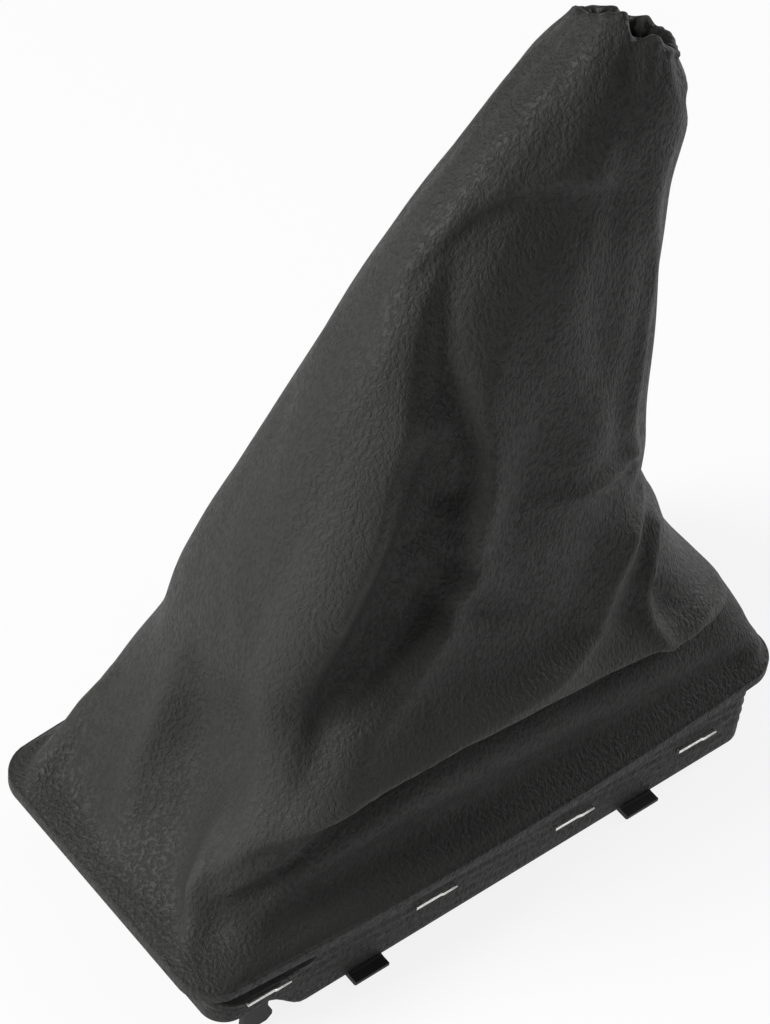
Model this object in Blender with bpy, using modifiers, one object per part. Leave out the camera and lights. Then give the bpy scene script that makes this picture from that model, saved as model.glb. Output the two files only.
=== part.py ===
"""Handbrake gaiter: a leatherette sleeve wrapped and stapled round a plastic snap-in frame.

Metres, +Z up. +X runs along the long side towards the end that the lever leans to, -Y is the near
long side, and the origin is under the middle of the rim, on the plane of the hook tips.
"""
from math import cos, radians, sin

import bmesh
import bpy
import numpy as np
from mathutils import Matrix, Vector

# Rim: the skin rolled over the edge of the frame
RIM_LENGTH = 0.178
RIM_WIDTH = 0.083
RIM_BOW = 0.0035
RIM_CORNER = 0.009
RIM_TOP = 0.0284
RIM_EDGE_ROUND = 0.0008
RIM_INSET = 0.0006

# Skin and clearances
SKIN = 0.0010
GAP = 0.0003
SLEEVE_HEIGHT = 0.2071

# Skirt: the wall of the frame, with the hem of the skin outside it
SKIRT_INSET_END = 0.006
SKIRT_INSET_SIDE = 0.0010
SKIRT_CORNER = 0.0065
SKIRT_BOTTOM = 0.0016
SKIRT_DRAFT = 0.0005
WALL = 0.0022
FLANGE = 0.0012
HEM_SHORT = 0.0008
FRONT_RELIEF = 0.0093
RELIEF_LENGTH = 0.032
RELIEF_RUN = 0.012

# Tuck of spare hem, lapped round both front corners under the rim
TUCK_PROUD = 0.0015
TUCK_BOTTOM = 0.0180
TUCK_TOP = 0.0216
TUCK_LENGTH = 0.033
STEP = 0.0006

# Neck and its gathered, turned-in hem
NECK_FROM_REAR = 0.0512
NECK_HALF_LENGTH = 0.0136
NECK_HALF_WIDTH = 0.0118
NECK_TILT = radians(37.0)
NECK_SIDE_TILT = radians(7.0)
LIP_RISE = 0.0012
GATHERS = 13
MINOR_GATHERS = 9
MINOR_SHARE = 0.5
MINOR_PHASE = 1.3
GATHER_DEPTH = 0.0006
GATHER_START = 0.92
GATHER_RUN = 0.06
ELASTIC = 0.0010
CASING_SLACK = 0.0030
ELASTIC_TOP = 0.980
ELASTIC_BOTTOM = 0.955
HEM_END = 0.945

# Snap hooks and locating pegs under the skirt
HOOK_FROM_FRONT = 0.0501
HOOK_FROM_REAR = 0.043
HOOK_WIDTH = 0.010
HOOK_REACH = 0.0047
HOOK_HEIGHT = 0.0016
HOOK_ROOT_RISE = 0.0006
PEG_FROM_FRONT = 0.0188
PEG_WIDTH = 0.007
PEG_NIB = 0.0015
ROOT = 0.0015

# Staples: crown along the wall with one kink, legs through hem and wall, tips clenched inside
CROWN = 0.0128
KINK = 0.0005
KINK_START = 0.10
KINK_END = 0.16
WIRE_RADIUS = 0.0004
HOLE_CLEARANCE = 0.0003
CLENCH = 0.0026
FIRST_STAPLE_FROM_FRONT = 0.0188
LAST_STAPLE_FROM_REAR = 0.0254
SIDE_STAPLE_PLACES = ((0.0, 0.0194), (0.3804, 0.0141), (0.7040, 0.0118), (1.0, 0.0130))
END_STAPLES_APART = 0.036
END_STAPLE_HEIGHT = 0.0145

# Edges sharper than this are shaded sharp
SHARP_ANGLE = radians(40.0)

# Points round the sleeve: each short side, corner and long side has its share
AROUND = 64
SHORT_SHARE = 0.125
CORNER_SHARE = 0.0625
LONG_SHARE = 0.25

# Form of the sleeve from rim (0) to neck (1). Each row gives the way along, then how far the front
# line has come to the neck in x and z, the same for the rear line, and how far the sides have come
# in. Then how round the section is, its corner radius as a share of the rim's, and the share of the
# neck's side tilt.
STATIONS = (
    (0.00, 0.000, 0.000, 0.000, 0.000, 0.000, 0.00, 1.00, 0.00),
    (0.07, 0.095, 0.032, 0.060, 0.030, 0.072, 0.05, 1.20, 0.00),
    (0.16, 0.226, 0.172, 0.165, 0.091, 0.190, 0.15, 1.55, 0.00),
    (0.30, 0.269, 0.354, 0.495, 0.200, 0.315, 0.40, 2.00, 0.15),
    (0.48, 0.405, 0.554, 0.765, 0.396, 0.475, 0.75, 2.00, 0.35),
    (0.66, 0.601, 0.750, 0.830, 0.609, 0.650, 0.95, 1.70, 0.55),
    (0.82, 0.789, 0.887, 0.890, 0.800, 0.800, 1.00, 1.60, 0.75),
    (0.94, 0.935, 0.968, 0.876, 0.941, 0.880, 1.00, 1.30, 0.90),
    (1.00, 1.000, 1.000, 1.000, 1.000, 1.000, 1.00, 1.15, 1.00),
)
SLEEVE_LEVELS = (0.0, 0.045, 0.09, 0.135, 0.175, 0.21, 0.25, 0.30, 0.36, 0.42,
                 0.48, 0.54, 0.60, 0.67, 0.74, 0.82, 0.90, 0.95, 0.98, 1.0)

# Folds of the sleeve, in units of FOLD_UNIT. Each has a half width on the right of its line, one on
# the left, and the points of the line (way round, way up, height). The way round starts at the middle
# of the rear end and runs by the far side, the front end and the near side. A ridge has a height
# above zero, a valley below.
FOLD_UNIT = 0.001
FOLDS = {
    "panel_edge": (14.0, 3.5, ((0.530, 0.72, 0.5), (0.560, 0.645, 3.0), (0.594, 0.555, 4.5),
            (0.604, 0.455, 5.0), (0.598, 0.345, 4.5), (0.588, 0.245, 3.5), (0.578, 0.17, 0.5))),
    "main_valley": (11.0, 3.5, ((0.570, 0.69, -1.0), (0.601, 0.635, -3.0), (0.632, 0.565, -3.5),
            (0.662, 0.49, -5.0), (0.680, 0.415, -8.0), (0.668, 0.36, -8.5), (0.642, 0.295, -7.0),
            (0.606, 0.24, -4.5), (0.590, 0.19, -0.5))),
    "pocket_bump": (4.5, 4.5, ((0.609, 0.59, 0.5), (0.626, 0.555, 3.0), (0.638, 0.53, 0.5))),
    "belly_crease": (2.5, 2.0, ((0.627, 0.608, -1.0), (0.647, 0.578, -3.0), (0.672, 0.538, -4.0),
            (0.680, 0.498, -3.5), (0.672, 0.478, -1.5))),
    "belly_ridge": (3.5, 6.0, ((0.625, 0.69, 0.0), (0.656, 0.61, 2.0), (0.679, 0.55, 3.0),
            (0.694, 0.49, 3.0), (0.688, 0.42, 2.0), (0.674, 0.36, 0.5))),
    "belly_hollow": (9.0, 9.0, ((0.712, 0.62, -0.5), (0.738, 0.54, -2.0), (0.735, 0.47, -2.0),
            (0.745, 0.41, -0.5))),
    "belly_swell": (7.0, 7.0, ((0.775, 0.60, 0.5), (0.800, 0.54, 1.5), (0.812, 0.50, 1.0))),
    "belly_arc": (2.5, 2.0, ((0.746, 0.472, 0.5), (0.790, 0.478, 1.5), (0.835, 0.492, 1.8),
            (0.875, 0.51, 1.0))),
    "belly_groove": (3.0, 3.0, ((0.672, 0.372, -1.0), (0.709, 0.353, -2.2), (0.750, 0.34, -0.5))),
    "foot_swell": (7.0, 7.0, ((0.700, 0.39, 1.0), (0.672, 0.325, 2.0), (0.640, 0.27, 2.5),
            (0.612, 0.225, 1.0))),
    "waist_long_ridge": (3.0, 4.5, ((0.886, 0.43, 1.5), (0.852, 0.40, 3.0), (0.826, 0.343, 3.0),
            (0.802, 0.275, 2.5), (0.772, 0.248, 2.0), (0.720, 0.222, 1.5), (0.670, 0.196, 1.5),
            (0.600, 0.168, 1.0))),
    "waist_short_ridge": (2.5, 2.5, ((0.890, 0.385, 2.0), (0.872, 0.347, 2.5), (0.856, 0.308, 2.5),
            (0.844, 0.25, 2.0), (0.841, 0.20, 1.0))),
    "waist_hem_ridge": (3.0, 3.0, ((0.910, 0.20, 1.5), (0.888, 0.222, 2.0), (0.860, 0.203, 1.5),
            (0.842, 0.195, 0.5))),
    "waist_gap": (3.0, 3.0, ((0.868, 0.39, -1.2), (0.845, 0.32, -1.0), (0.825, 0.25, -0.5))),
    "waist_pit": (3.5, 3.5, ((0.864, 0.285, -0.6), (0.859, 0.25, -0.9))),
    "waist_notch": (5.0, 6.0, ((0.885, 0.43, -2.0), (0.925, 0.425, -6.0), (0.970, 0.42, -2.0))),
    "sill_edge": (2.5, 10.0, ((0.553, 0.105, 2.5), (0.580, 0.145, 4.0), (0.625, 0.18, 5.0),
            (0.680, 0.202, 5.5), (0.750, 0.213, 5.5), (0.830, 0.205, 5.0), (0.880, 0.192, 3.5),
            (0.920, 0.18, 0.5))),
    "sill_under": (5.0, 4.0, ((0.575, 0.125, -1.0), (0.625, 0.155, -2.5), (0.690, 0.172, -2.5),
            (0.760, 0.176, -2.5), (0.830, 0.17, -2.0), (0.880, 0.16, -0.5))),
    "sill_trough": (9.0, 6.0, ((0.567, 0.06, -2.5), (0.600, 0.074, -3.5), (0.690, 0.088, -4.0),
            (0.760, 0.086, -4.0), (0.830, 0.08, -3.0), (0.880, 0.07, -1.5), (0.900, 0.06, 0.0))),
    "neck_step": (12.0, 3.0, ((0.545, 0.70, -1.5), (0.566, 0.75, -2.5), (0.604, 0.78, -3.0),
            (0.655, 0.80, -3.0), (0.710, 0.812, -1.5))),
    "neck_band": (6.0, 6.0, ((0.700, 0.92, -0.5), (0.735, 0.83, -1.2), (0.768, 0.72, -1.5),
            (0.785, 0.62, -1.2))),
    "neck_rear_ridge": (3.5, 3.5, ((0.800, 0.86, 0.5), (0.846, 0.76, 1.2), (0.845, 0.65, 1.8),
            (0.848, 0.55, 2.0), (0.870, 0.48, 1.0))),
    "near_rear_corner": (8.0, 8.0, ((0.908, 0.02, 0.0), (0.908, 0.05, 1.0), (0.912, 0.11, 1.5),
            (0.918, 0.17, 0.5))),
    "front_ridge": (6.0, 5.0, ((0.455, 0.24, 0.5), (0.461, 0.17, 2.0), (0.471, 0.11, 2.5),
            (0.490, 0.065, 2.0), (0.525, 0.06, 1.0))),
    "front_hollow": (7.0, 7.0, ((0.482, 0.19, -0.5), (0.497, 0.15, -2.0), (0.515, 0.125, -2.0),
            (0.530, 0.10, -0.5))),
    "near_front_corner": (4.0, 2.5, ((0.548, 0.13, 1.5), (0.552, 0.095, 3.5), (0.557, 0.055, 3.0),
            (0.560, 0.02, 1.0))),
    "far_front_corner": (6.0, 3.0, ((0.404, 0.14, 0.0), (0.410, 0.105, 3.0), (0.421, 0.065, 4.0),
            (0.438, 0.025, 1.5))),
    "far_sill_edge": (10.0, 5.0, ((0.400, 0.12, 0.5), (0.350, 0.165, 3.5), (0.270, 0.19, 4.5),
            (0.190, 0.18, 4.0), (0.110, 0.15, 0.5))),
    "far_sill_trough": (7.0, 8.0, ((0.390, 0.07, 0.0), (0.310, 0.10, -3.5), (0.200, 0.10, -3.5),
            (0.110, 0.07, 0.0))),
    "far_valley": (8.0, 6.0, ((0.300, 0.74, 0.0), (0.280, 0.58, -3.5), (0.310, 0.44, -4.5),
            (0.350, 0.30, -3.0), (0.370, 0.22, 0.0))),
    "far_ridge": (9.0, 7.0, ((0.180, 0.66, 0.0), (0.200, 0.50, 3.0), (0.170, 0.36, 3.5),
            (0.130, 0.26, 0.0))),
    "rear_ridge": (8.0, 6.0, ((0.020, 0.40, 0.0), (0.030, 0.29, 2.5), (0.020, 0.18, 1.5),
            (0.015, 0.08, 0.0))),
}
# Folds and the rim's bow fade over these shares of the way up, because the rim clamps the skin
FOLD_FADE = 0.04
BOW_FADE = 0.16


def smooth_step(x):
    """Eased ramp from 0 to 1."""
    x = np.clip(x, 0.0, 1.0)
    return x * x * (3.0 - 2.0 * x)


def rail(column, t):
    """Value of one station column at t, on a smooth cubic through all stations."""
    knots = np.array([row[0] for row in STATIONS])
    values = np.array([row[column] for row in STATIONS])
    steps = np.diff(knots)
    slopes = np.diff(values) / steps
    tangents = np.empty_like(values)
    tangents[0] = slopes[0]
    tangents[-1] = slopes[-1]
    tangents[1:-1] = (slopes[:-1] * steps[1:] + slopes[1:] * steps[:-1]) / (knots[2:] - knots[:-2])
    i = int(np.clip(np.searchsorted(knots, t, side="right") - 1, 0, len(knots) - 2))
    s = (t - knots[i]) / steps[i]
    start = values[i] * (2 * s**3 - 3 * s**2 + 1) + tangents[i] * steps[i] * (s**3 - 2 * s**2 + s)
    end = values[i + 1] * (3 * s**2 - 2 * s**3) + tangents[i + 1] * steps[i] * (s**3 - s**2)
    return start + end


def rounded_rectangle(u, half_length, half_width, corner):
    """Points of a rounded rectangle at the shares u of the way round."""
    u = np.mod(u, 1.0)
    half = np.where(u > 0.5, 1.0 - u, u)
    quarter = np.where(half > 0.25, 0.5 - half, half)
    on_short = quarter / (SHORT_SHARE / 2)
    on_corner = (quarter - SHORT_SHARE / 2) / CORNER_SHARE
    on_long = (quarter - SHORT_SHARE / 2 - CORNER_SHARE) / (LONG_SHARE / 2)
    angle = np.clip(on_corner, 0.0, 1.0) * np.pi / 2
    x = np.where(quarter < SHORT_SHARE / 2, half_length,
                 half_length - corner + corner * np.cos(angle))
    x = np.where(on_corner < 1.0, x, (half_length - corner) * (1.0 - np.clip(on_long, 0.0, 1.0)))
    y = np.where(quarter < SHORT_SHARE / 2, (half_width - corner) * on_short,
                 half_width - corner + corner * np.sin(angle))
    return np.where(half > 0.25, -x, x), np.where(u > 0.5, -y, y)


def bowed(x, y, half_length, bow):
    """Long sides bowed outward, most at mid length."""
    return y + np.sign(y) * bow * (1.0 - (x / half_length) ** 2)


def flat_ring(inset_end, inset_side, corner, bow, z):
    """Ring of points at one height, set in from the rim's outermost line."""
    u = np.arange(AROUND) / AROUND
    half_length = RIM_LENGTH / 2 - inset_end
    x, y = rounded_rectangle(u, half_length, RIM_WIDTH / 2 - inset_side, corner)
    y = bowed(x, y, half_length, bow)
    return np.stack([x, y, np.zeros(AROUND) + z], axis=-1)


def skirt_bottom(x):
    """Lower edge of the skirt, which rises towards the front end."""
    relief_start = RELIEF_LENGTH - RIM_LENGTH / 2
    return SKIRT_BOTTOM + FRONT_RELIEF * smooth_step((relief_start - x) / RELIEF_RUN)


def rim_ring(inset, z):
    """Ring of the skin round the bowed edge of the flange."""
    return flat_ring(inset, inset, RIM_CORNER - inset, RIM_BOW, z)


def hem_ring(z, proud=0.0):
    """Ring of the hem outside the skirt, proud where the tuck laps round the front corners."""
    ring = flat_ring(SKIRT_INSET_END, SKIRT_INSET_SIDE, SKIRT_CORNER, 0.0, z)
    out = flat_ring(SKIRT_INSET_END - proud, SKIRT_INSET_SIDE - proud, SKIRT_CORNER + proud, 0.0, z)
    on_tuck = (ring[:, 0] < TUCK_LENGTH - RIM_LENGTH / 2) & (np.abs(ring[:, 1]) > RIM_WIDTH / 4)
    return np.where(on_tuck[:, None], out, ring)


def frame_ring(inset, z):
    """Ring of the frame's wall, set in from the outside of the hem."""
    return flat_ring(SKIRT_INSET_END + inset, SKIRT_INSET_SIDE + inset, SKIRT_CORNER - inset, 0.0, z)


def section(t):
    """Centre, axes, half length and half width of the sleeve's section at t."""
    rim_x = RIM_LENGTH / 2 - RIM_INSET
    rim_half_width = RIM_WIDTH / 2 - RIM_INSET
    neck_x = RIM_LENGTH / 2 - NECK_FROM_REAR
    neck_z = RIM_TOP + SLEEVE_HEIGHT - NECK_HALF_LENGTH * sin(NECK_TILT)
    reach = NECK_HALF_LENGTH * cos(NECK_TILT)
    drop = NECK_HALF_LENGTH * sin(NECK_TILT)
    front = Vector((-rim_x + rail(1, t) * (neck_x - reach + rim_x), 0.0,
                    RIM_TOP + rail(2, t) * (neck_z + drop - RIM_TOP)))
    rear = Vector((rim_x + rail(3, t) * (neck_x + reach - rim_x), 0.0,
                   RIM_TOP + rail(4, t) * (neck_z - drop - RIM_TOP)))
    along = (rear - front).normalized()
    up = Vector((-along.z, 0.0, along.x))
    tilt = rail(8, t) * NECK_SIDE_TILT
    across = Vector((0.0, cos(tilt), 0.0)) - up * sin(tilt)
    half_width = rim_half_width + rail(5, t) * (NECK_HALF_WIDTH - rim_half_width)
    return (front + rear) / 2, along, across, up, (rear - front).length / 2, half_width


def section_outline(u, t, half_length, half_width):
    """Outline of the section at t, from a rounded rectangle at the rim to an oval at the neck."""
    roundness = float(np.clip(rail(6, t), 0.0, 1.0))
    corner = min(rail(7, t) * RIM_CORNER, half_width)
    x, y = rounded_rectangle(u, half_length, half_width, corner)
    x = (1.0 - roundness) * x + roundness * half_length * np.cos(2 * np.pi * u)
    y = (1.0 - roundness) * y + roundness * half_width * np.sin(2 * np.pi * u)
    rim_share = float(np.clip(1.0 - t / BOW_FADE, 0.0, 1.0))
    return x, bowed(x, y, half_length, RIM_BOW * rim_share)


def fold_height(u, t, around):
    """Height of all folds at the points u of level t, where the section measures around."""
    total = np.zeros_like(u)
    for right, left, points in FOLDS.values():
        nearest = np.full_like(u, 1.0e9)
        height = np.zeros_like(u)
        half_width = np.ones_like(u)
        for (u0, t0, h0), (u1, t1, h1) in zip(points, points[1:]):
            du = (np.mod(u - u0 + 0.5, 1.0) - 0.5) * around
            dt = (t - t0) * SLEEVE_HEIGHT
            run_u = (np.mod(u1 - u0 + 0.5, 1.0) - 0.5) * around
            run_t = (t1 - t0) * SLEEVE_HEIGHT
            run = np.hypot(run_u, run_t)
            share = np.clip((du * run_u + dt * run_t) / run**2, 0.0, 1.0)
            distance = np.hypot(du - share * run_u, dt - share * run_t)
            to_left = (run_u * dt - run_t * du) / (run * np.maximum(distance, FOLD_UNIT / 1000))
            left_share = 0.5 + 0.5 * np.clip(to_left, -1.0, 1.0)
            closer = distance < nearest
            nearest = np.where(closer, distance, nearest)
            height = np.where(closer, h0 + (h1 - h0) * share, height)
            half_width = np.where(closer, right + (left - right) * left_share, half_width)
        total += height * np.exp(-((nearest / (half_width * FOLD_UNIT)) ** 2))
    return total * FOLD_UNIT * float(smooth_step(t / FOLD_FADE))


def gather_height(u, t):
    """Small pleats that the elastic draws in round the neck."""
    wave = np.cos(2 * np.pi * GATHERS * u)
    wave += MINOR_SHARE * np.cos(2 * np.pi * MINOR_GATHERS * u + MINOR_PHASE)
    drawn_in = float(smooth_step((t - GATHER_START) / GATHER_RUN))
    return GATHER_DEPTH * drawn_in * wave / (1.0 + MINOR_SHARE)


def sleeve_ring(t, inset=0.0, rise=0.0):
    """Ring of the sleeve at t with its folds, set in across the section and raised along the neck."""
    u = np.arange(AROUND) / AROUND
    centre, along, across, up, half_length, half_width = section(t)
    x, y = section_outline(u, t, half_length, half_width)
    dx = np.roll(x, -1) - np.roll(x, 1)
    dy = np.roll(y, -1) - np.roll(y, 1)
    length = np.hypot(dx, dy)
    around = 2 * np.pi * np.hypot(half_length, half_width) / 2**0.5
    out = fold_height(u, t, around) + gather_height(u, t) - inset
    x = x + dy / length * out
    y = y - dx / length * out
    centre = np.array(centre + up * rise)
    return centre + np.outer(x, np.array(along)) + np.outer(y, np.array(across))


def loft(name, rings, material, closed=False):
    """Object with one face between each pair of neighbouring points of neighbouring rings."""
    bm = bmesh.new()
    rows = [[bm.verts.new(point) for point in ring] for ring in rings]
    pairs = list(zip(rows, rows[1:]))
    if closed:
        pairs.append((rows[-1], rows[0]))
    for low, high in pairs:
        for i in range(len(low)):
            j = (i + 1) % len(low)
            bm.faces.new((low[i], low[j], high[j], high[i]))
    bmesh.ops.recalc_face_normals(bm, faces=bm.faces)
    mesh = bpy.data.meshes.new(name)
    bm.to_mesh(mesh)
    bm.free()
    return add_object(name, mesh, material)


def add_object(name, mesh, material):
    """New object in the gaiter's collection, shaded smooth."""
    obj = bpy.data.objects.new(name, mesh)
    mesh.materials.clear()
    mesh.materials.append(material)
    mesh.shade_smooth()
    mesh.set_sharp_from_angle(angle=SHARP_ANGLE)
    bpy.data.collections["handbrake_gaiter"].objects.link(obj)
    return obj


def make_material(name, colour, roughness, metallic=0.0):
    """Principled material with one colour."""
    material = bpy.data.materials.new(name)
    material.use_nodes = True
    shader = material.node_tree.nodes["Principled BSDF"]
    shader.inputs["Base Color"].default_value = (*colour, 1.0)
    shader.inputs["Roughness"].default_value = roughness
    shader.inputs["Metallic"].default_value = metallic
    return material


def curve_to_mesh(curve_object):
    """Mesh object in the place of a curve, its caps welded."""
    depsgraph = bpy.context.evaluated_depsgraph_get()
    mesh = bpy.data.meshes.new_from_object(curve_object.evaluated_get(depsgraph))
    bm = bmesh.new()
    bm.from_mesh(mesh)
    bmesh.ops.remove_doubles(bm, verts=bm.verts, dist=0.000001)
    bmesh.ops.recalc_face_normals(bm, faces=bm.faces)
    bm.to_mesh(mesh)
    bm.free()
    solid = bpy.data.objects.new(curve_object.name + "_solid", mesh)
    solid.matrix_world = curve_object.matrix_world
    bpy.data.objects.remove(curve_object)
    return solid


def flat_solid(name, outline, thickness, matrix):
    """Flat outline given a thickness, as a cutter or a piece to join."""
    curve = bpy.data.curves.new(name, "CURVE")
    curve.dimensions = "2D"
    curve.fill_mode = "BOTH"
    curve.extrude = thickness / 2
    spline = curve.splines.new("POLY")
    spline.points.add(len(outline) - 1)
    for point, (x, y) in zip(spline.points, outline):
        point.co = (x, y, 0.0, 1.0)
    spline.use_cyclic_u = True
    flat = bpy.data.objects.new(name, curve)
    flat.matrix_world = matrix
    bpy.context.scene.collection.objects.link(flat)
    bpy.context.view_layer.update()
    return hide_guide(curve_to_mesh(flat))


def hide_guide(obj):
    """Object kept with the cutters, shown as wire and left out of renders."""
    obj.hide_render = True
    obj.display_type = "WIRE"
    bpy.data.collections["cutters"].objects.link(obj)
    return obj


def boolean(target, operand, operation):
    """Boolean modifier with one operand."""
    modifier = target.modifiers.new(operation.title() + " " + operand.name, "BOOLEAN")
    modifier.solver = "EXACT"
    modifier.operation = operation
    modifier.object = operand


def side_frame(side, x, z):
    """Matrix of a long side: local X along it, local Y up, local Z outward."""
    out = Vector((0.0, side, 0.0))
    along = Vector((0.0, 0.0, 1.0)).cross(out)
    return placed(along, out, Vector((x, side * (RIM_WIDTH / 2 - SKIRT_INSET_SIDE), z)))


def end_frame(end, y, z):
    """Matrix of an end: local X along it, local Y up, local Z outward."""
    out = Vector((end, 0.0, 0.0))
    along = Vector((0.0, 0.0, 1.0)).cross(out)
    return placed(along, out, Vector((end * (RIM_LENGTH / 2 - SKIRT_INSET_END), y, z)))


def placed(along, out, origin):
    """Matrix with local X along, local Y up and local Z out."""
    up = Vector((0.0, 0.0, 1.0))
    rotation = Matrix((along, up, out)).transposed()
    return Matrix.Translation(origin) @ rotation.to_4x4()


def hook_outline():
    """Snap hook seen from its end: x outward from the hem's outside, y up."""
    wall_out = -(SKIN + GAP) - SKIRT_DRAFT
    wall_in = wall_out - WALL + SKIRT_DRAFT
    tip = wall_out + HOOK_REACH
    chamfer = HOOK_HEIGHT / 3
    return ((wall_in, SKIRT_BOTTOM + ROOT), (wall_in, chamfer), (wall_in + chamfer, 0.0),
            (tip - chamfer, 0.0), (tip, chamfer), (tip, HOOK_HEIGHT), (GAP, HOOK_HEIGHT),
            (wall_out, HOOK_HEIGHT + HOOK_ROOT_RISE), (wall_out, SKIRT_BOTTOM + ROOT))


def peg_outline():
    """Locating peg seen from outside: x along the wall, y up."""
    half = PEG_WIDTH / 2
    top = SKIRT_BOTTOM + FRONT_RELIEF + ROOT
    return ((-half, top), (-half, PEG_NIB), (-half + PEG_NIB, 0.0), (half, 0.0),
            (half + PEG_NIB, PEG_NIB), (half + PEG_NIB, 2 * PEG_NIB), (half, 3 * PEG_NIB), (half, top))


def make_frame(material):
    """Plastic frame: flange ring, drafted skirt, snap hooks and pegs, and the staples' holes."""
    wall_out = SKIN + GAP
    wall_in = wall_out + WALL
    edge = SKIN + GAP
    flange_top = RIM_TOP - SKIN - GAP
    flange_bottom = flange_top - FLANGE
    bottom_out = frame_ring(wall_out + SKIRT_DRAFT, 0.0)
    bottom_out[:, 2] = skirt_bottom(bottom_out[:, 0])
    bottom_in = frame_ring(wall_in, 0.0)
    bottom_in[:, 2] = skirt_bottom(bottom_in[:, 0])
    rings = (bottom_out, frame_ring(wall_out, flange_bottom),
             rim_ring(edge + RIM_EDGE_ROUND, flange_bottom), rim_ring(edge, flange_bottom + FLANGE / 2),
             rim_ring(edge + RIM_EDGE_ROUND, flange_top), frame_ring(wall_in, flange_top), bottom_in)
    frame = loft("frame", rings, material, closed=True)
    for side in (-1.0, 1.0):
        for x in (HOOK_FROM_FRONT - RIM_LENGTH / 2, RIM_LENGTH / 2 - HOOK_FROM_REAR):
            hook = flat_solid("hook", hook_outline(), HOOK_WIDTH, hook_matrix(side, x))
            boolean(frame, hook, "UNION")
        depth = WALL - SKIRT_DRAFT
        inward = SKIN + GAP + SKIRT_DRAFT + depth / 2
        matrix = peg_matrix(side, PEG_FROM_FRONT - RIM_LENGTH / 2, inward)
        boolean(frame, flat_solid("peg", peg_outline(), depth, matrix), "UNION")
    return frame


def hook_matrix(side, x):
    """Matrix of a hook's outline: local X outward, local Y up, local Z along the side."""
    out = Vector((0.0, side, 0.0))
    up = Vector((0.0, 0.0, 1.0))
    origin = Vector((x, side * (RIM_WIDTH / 2 - SKIRT_INSET_SIDE), 0.0))
    return Matrix.Translation(origin) @ Matrix((out, up, out.cross(up))).transposed().to_4x4()


def peg_matrix(side, x, inward):
    """Matrix of a peg's outline: local X towards the rear end, local Y up."""
    rear = Vector((1.0, 0.0, 0.0))
    up = Vector((0.0, 0.0, 1.0))
    origin = Vector((x, side * (RIM_WIDTH / 2 - SKIRT_INSET_SIDE - inward), 0.0))
    return Matrix.Translation(origin) @ Matrix((rear, up, rear.cross(up))).transposed().to_4x4()


def make_skin(material):
    """Leatherette sleeve: hem, roll round the flange, folded body, gathered and turned-in neck."""
    flange_bottom = RIM_TOP - 2 * (SKIN + GAP) - FLANGE
    hem_bottom = hem_ring(0.0)
    hem_bottom[:, 2] = skirt_bottom(hem_bottom[:, 0]) + HEM_SHORT
    middle = (flange_bottom + RIM_TOP) / 2
    rings = [hem_bottom, hem_ring(TUCK_BOTTOM), hem_ring(TUCK_BOTTOM + STEP, TUCK_PROUD),
             hem_ring(TUCK_TOP, TUCK_PROUD), hem_ring(TUCK_TOP + STEP), hem_ring(flange_bottom),
             rim_ring(RIM_INSET, flange_bottom),
             rim_ring(0.0, middle - RIM_EDGE_ROUND), rim_ring(0.0, middle + RIM_EDGE_ROUND)]
    rings += [sleeve_ring(t) for t in SLEEVE_LEVELS]
    casing = 2 * SKIN + ELASTIC + 2 * GAP + CASING_SLACK
    rings += [sleeve_ring(1.0, casing / 2, LIP_RISE), sleeve_ring(ELASTIC_TOP, casing),
              sleeve_ring(HEM_END, casing)]
    skin = loft("gaiter_skin", rings, material)
    wall = skin.modifiers.new("Leatherette thickness", "SOLIDIFY")
    wall.thickness = SKIN
    wall.offset = -1.0
    return skin


def make_elastic(material):
    """Flat elastic band that lies in the casing of the neck's hem."""
    middle = SKIN + GAP + CASING_SLACK / 2 + ELASTIC / 2
    rings = []
    for t, side in ((ELASTIC_BOTTOM, -0.5), (ELASTIC_TOP, -0.5), (ELASTIC_TOP, 0.5), (ELASTIC_BOTTOM, 0.5)):
        rings.append(plain_ring(t, middle + side * ELASTIC))
    return loft("neck_elastic", rings, material, closed=True)


def plain_ring(t, inset):
    """Ring inside the sleeve at t, without its folds and gathers."""
    u = np.arange(0, AROUND, 2) / AROUND
    centre, along, across, _, half_length, half_width = section(t)
    x, y = section_outline(u, t, half_length - inset, half_width - inset)
    return np.array(centre) + np.outer(x, np.array(along)) + np.outer(y, np.array(across))


def make_staple(name, matrix, proud, material):
    """Wire staple, and its two holes in frame and skin."""
    crown = WIRE_RADIUS + GAP + proud
    inside = -(SKIN + GAP + WALL + SKIRT_DRAFT) - GAP - WIRE_RADIUS
    half = CROWN / 2 - WIRE_RADIUS
    path = ((-half + CLENCH, 0.0, inside), (-half, 0.0, inside), (-half, 0.0, crown),
            (KINK_START * CROWN, 0.0, crown), (KINK_END * CROWN, -KINK, crown), (half, -KINK, crown),
            (half, -KINK, inside), (half - CLENCH, -KINK, inside))
    staple = wire(name, path, WIRE_RADIUS, matrix)
    solid = curve_to_mesh(staple)
    mesh = solid.data
    piece = add_object(name, mesh, material)
    piece.matrix_world = solid.matrix_world
    bpy.data.objects.remove(solid)
    return [leg_cutter(name, matrix, x, y) for x, y in ((-half, 0.0), (half, -KINK))]


def wire(name, path, radius, matrix):
    """Round wire along a path of straight runs."""
    curve = bpy.data.curves.new(name, "CURVE")
    curve.dimensions = "3D"
    curve.bevel_depth = radius
    curve.bevel_resolution = 2
    curve.use_fill_caps = True
    spline = curve.splines.new("POLY")
    spline.points.add(len(path) - 1)
    for point, place in zip(spline.points, path):
        point.co = (*place, 1.0)
    obj = bpy.data.objects.new(name + "_wire", curve)
    obj.matrix_world = matrix
    bpy.context.scene.collection.objects.link(obj)
    bpy.context.view_layer.update()
    return obj


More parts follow.
